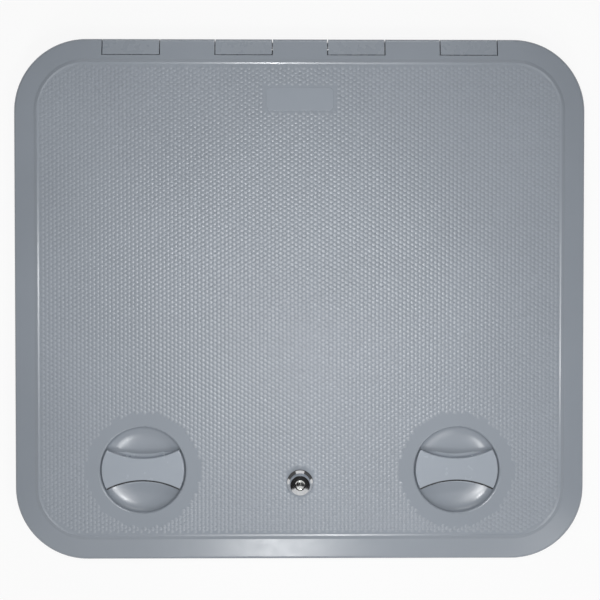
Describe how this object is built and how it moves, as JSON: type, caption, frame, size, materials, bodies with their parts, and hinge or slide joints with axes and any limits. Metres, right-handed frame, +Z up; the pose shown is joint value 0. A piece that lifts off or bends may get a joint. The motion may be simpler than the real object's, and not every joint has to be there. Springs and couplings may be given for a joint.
{
  "type": "hinged deck inspection hatch",
  "caption": "Rectangular deck inspection hatch: a non-slip lid with round corners, hinged on a hidden screw-down frame, with flush twist latches in round bowls and a raised key lock.",
  "frame": {"origin": "middle of the hatch on the deck plane, which is the underside of the frame's flange and the middle of its screw pattern", "axes": "+X across the hatch along the hinge, +Y towards the hinge, +Z up out of the deck"},
  "size_m": [0.51, 0.4654, 0.0702],
  "materials": {
    "lid_plastic": "satin moulded plastic, fine grain",
    "frame_plastic": "satin moulded plastic",
    "grip_plastic": "satin moulded plastic",
    "washer_plastic": "natural bearing plastic",
    "black_rubber": "matt",
    "steel": "stainless, brushed",
    "lock_chrome": "polished",
    "plug_metal": "polished, worn by the key"
  },
  "bodies": {
    "frame": {"frame": "frame_plastic", "hinge_pin_left": "steel", "hinge_pin_right": "steel"},
    "lid": {"lid": "lid_plastic", "lid_seal": "black_rubber", "lock_gasket": "black_rubber", "lock_housing": "lock_chrome", "lock_tab_washer": "steel", "lock_nut": "lock_chrome"},
    "latch_left": {"latch_handle_left": "grip_plastic", "latch_oring_left": "black_rubber", "latch_washer_left": "washer_plastic", "latch_tongue_left": "steel", "latch_tongue_washer_left": "steel", "latch_screw_left": "steel"},
    "latch_right": {"latch_handle_right": "grip_plastic", "latch_oring_right": "black_rubber", "latch_washer_right": "washer_plastic", "latch_tongue_right": "steel", "latch_tongue_washer_right": "steel", "latch_screw_right": "steel"},
    "lock_key_plug": {"lock_plug": "plug_metal", "lock_cam": "steel", "lock_cam_washer": "steel", "lock_cam_screw": "steel"}
  },
  "joints": [
    {"name": "lid_hinge", "type": "hinge", "parent": "frame", "child": "lid", "pos_m": [0, 0.22525, 0.0085], "axis": [-1, 0, 0], "range_deg": [0, 105]},
    {"name": "latch_left_turn", "type": "hinge", "parent": "lid", "child": "latch_left", "pos_m": [-0.14, -0.1515, 0], "axis": [0, 0, 1], "range_deg": [0, 90]},
    {"name": "latch_right_turn", "type": "hinge", "parent": "lid", "child": "latch_right", "pos_m": [0.14, -0.1515, 0], "axis": [0, 0, -1], "range_deg": [0, 90]},
    {"name": "lock_turn", "type": "hinge", "parent": "lid", "child": "lock_key_plug", "pos_m": [0, -0.163, 0], "axis": [0, 0, 1], "range_deg": [0, 90]}
  ]
}
